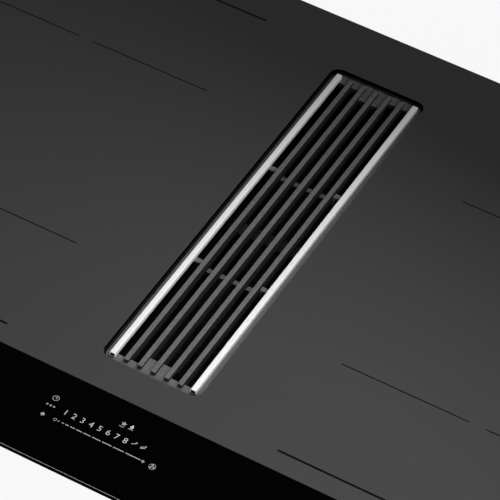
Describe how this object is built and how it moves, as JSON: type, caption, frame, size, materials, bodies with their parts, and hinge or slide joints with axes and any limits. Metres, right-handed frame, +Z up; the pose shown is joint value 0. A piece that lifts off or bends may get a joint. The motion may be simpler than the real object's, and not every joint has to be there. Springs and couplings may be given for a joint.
{
  "type": "downdraft induction cooktop",
  "caption": "Flush glass induction hob with a lift-out air grille in its middle, a grease-filter cassette below it, and a blower in an air box that blows out through a flat-duct spigot.",
  "frame": {"origin": "under the middle of the glass, on the plane that the feet of the air box stand on", "axes": "+Z up, -Y towards the cook and the control strip, +X to the cook's right"},
  "size_m": [0.83, 0.515, 0.199],
  "materials": {
    "glass": "black glass-ceramic, satin, with a polished control strip along the front",
    "rubber": "matt foam and silicone",
    "black_steel": "black coated sheet steel",
    "galvanised_steel": "galvanised sheet steel",
    "stainless_steel": "bright rolled stainless steel",
    "grey_plastic": "moulded dark grey plastic",
    "black_plastic": "moulded black plastic",
    "powder_coat": "grey fine-texture powder coat",
    "anodised_aluminium": "satin anodised aluminium",
    "plain_aluminium": "mill-finish aluminium",
    "copper_litz": "varnished copper litz",
    "ferrite_carrier": "dark moulded carrier with ferrite bars",
    "circuit_board": "green circuit board"
  },
  "bodies": {
    "hob": {"glass_panel": "glass", "worktop_tape": "rubber", "blower_mount_ring": "rubber", "glass_frame": "black_steel", "motor_stator": "black_steel", "hob_tray": "galvanised_steel", "hold_down_spring_front_left": "stainless_steel", "hold_down_spring_back_left": "stainless_steel", "hold_down_spring_front_right": "stainless_steel", "hold_down_spring_back_right": "stainless_steel", "flap_pin": "stainless_steel", "terminal_box": "grey_plastic", "terminal_cover": "grey_plastic", "touch_carrier": "grey_plastic", "cable_gland": "black_plastic", "inlet_collar": "black_plastic", "inlet_well": "black_plastic", "air_box": "black_plastic", "service_lid": "black_plastic", "scroll_housing": "black_plastic", "scroll_inlet_plate": "black_plastic", "outlet_spigot": "black_plastic", "cooling_fan_left": "black_plastic", "cooling_fan_right": "black_plastic", "coil_plate_left": "plain_aluminium", "coil_plate_right": "plain_aluminium", "heat_sink_left": "plain_aluminium", "heat_sink_right": "plain_aluminium", "coil_winding_front_left": "copper_litz", "coil_winding_front_right": "copper_litz", "coil_winding_back_left": "copper_litz", "coil_winding_back_right": "copper_litz", "coil_former_front_left": "ferrite_carrier", "coil_former_front_right": "ferrite_carrier", "coil_former_back_left": "ferrite_carrier", "coil_former_back_right": "ferrite_carrier", "power_board_left": "circuit_board", "power_board_right": "circuit_board", "touch_board": "circuit_board"},
    "filter_cassette": {"cassette_frame": "black_plastic", "cassette_handle": "black_plastic", "grease_filter_left": "stainless_steel", "grease_filter_right": "stainless_steel", "drip_tray": "black_plastic"},
    "air_grille": {"grille_frame": "powder_coat", "grille_seal": "rubber", "grille_rail_left": "anodised_aluminium", "grille_rail_right": "anodised_aluminium", "grille_blade_1": "powder_coat", "grille_blade_2": "powder_coat", "grille_blade_3": "powder_coat", "grille_blade_4": "powder_coat", "grille_blade_5": "powder_coat"},
    "impeller_rotor": {"impeller": "grey_plastic", "motor_rotor": "galvanised_steel"},
    "cooling_rotor_left": {"cooling_fan_rotor_left": "black_plastic"},
    "cooling_rotor_right": {"cooling_fan_rotor_right": "black_plastic"},
    "upper_flap": {"outlet_flap_upper": "grey_plastic"},
    "lower_flap": {"outlet_flap_lower": "grey_plastic"}
  },
  "joints": [
    {"name": "cassette_lift", "type": "slide", "parent": "hob", "child": "filter_cassette", "axis": [0, 0, 1], "range_m": [0, 0.125]},
    {"name": "grille_lift", "type": "slide", "parent": "filter_cassette", "child": "air_grille", "axis": [0, 0, 1], "range_m": [0, 0.03]},
    {"name": "impeller_spin", "type": "hinge", "parent": "hob", "child": "impeller_rotor", "pos_m": [0.17588, 0.02, 0.099], "axis": [0, 0, 1], "continuous": true},
    {"name": "cooling_fan_spin_left", "type": "hinge", "parent": "hob", "child": "cooling_rotor_left", "pos_m": [-0.218, -0.075, 0.1562], "axis": [0, 0, 1], "continuous": true},
    {"name": "cooling_fan_spin_right", "type": "hinge", "parent": "hob", "child": "cooling_rotor_right", "pos_m": [0.218, -0.075, 0.1562], "axis": [0, 0, 1], "continuous": true},
    {"name": "upper_flap_swing", "type": "hinge", "parent": "hob", "child": "upper_flap", "pos_m": [0.19687, 0.209, 0.093], "axis": [-1, 0, 0], "range_deg": [0, 78], "stiffness_Nm_per_rad": 0.02},
    {"name": "lower_flap_swing", "type": "hinge", "parent": "hob", "child": "lower_flap", "pos_m": [0.19687, 0.209, 0.093], "axis": [1, 0, 0], "range_deg": [0, 78], "stiffness_Nm_per_rad": 0.02}
  ],
  "couplings": [
    {"joint": "lower_flap_swing", "follows": "upper_flap_swing", "ratio": 1}
  ]
}
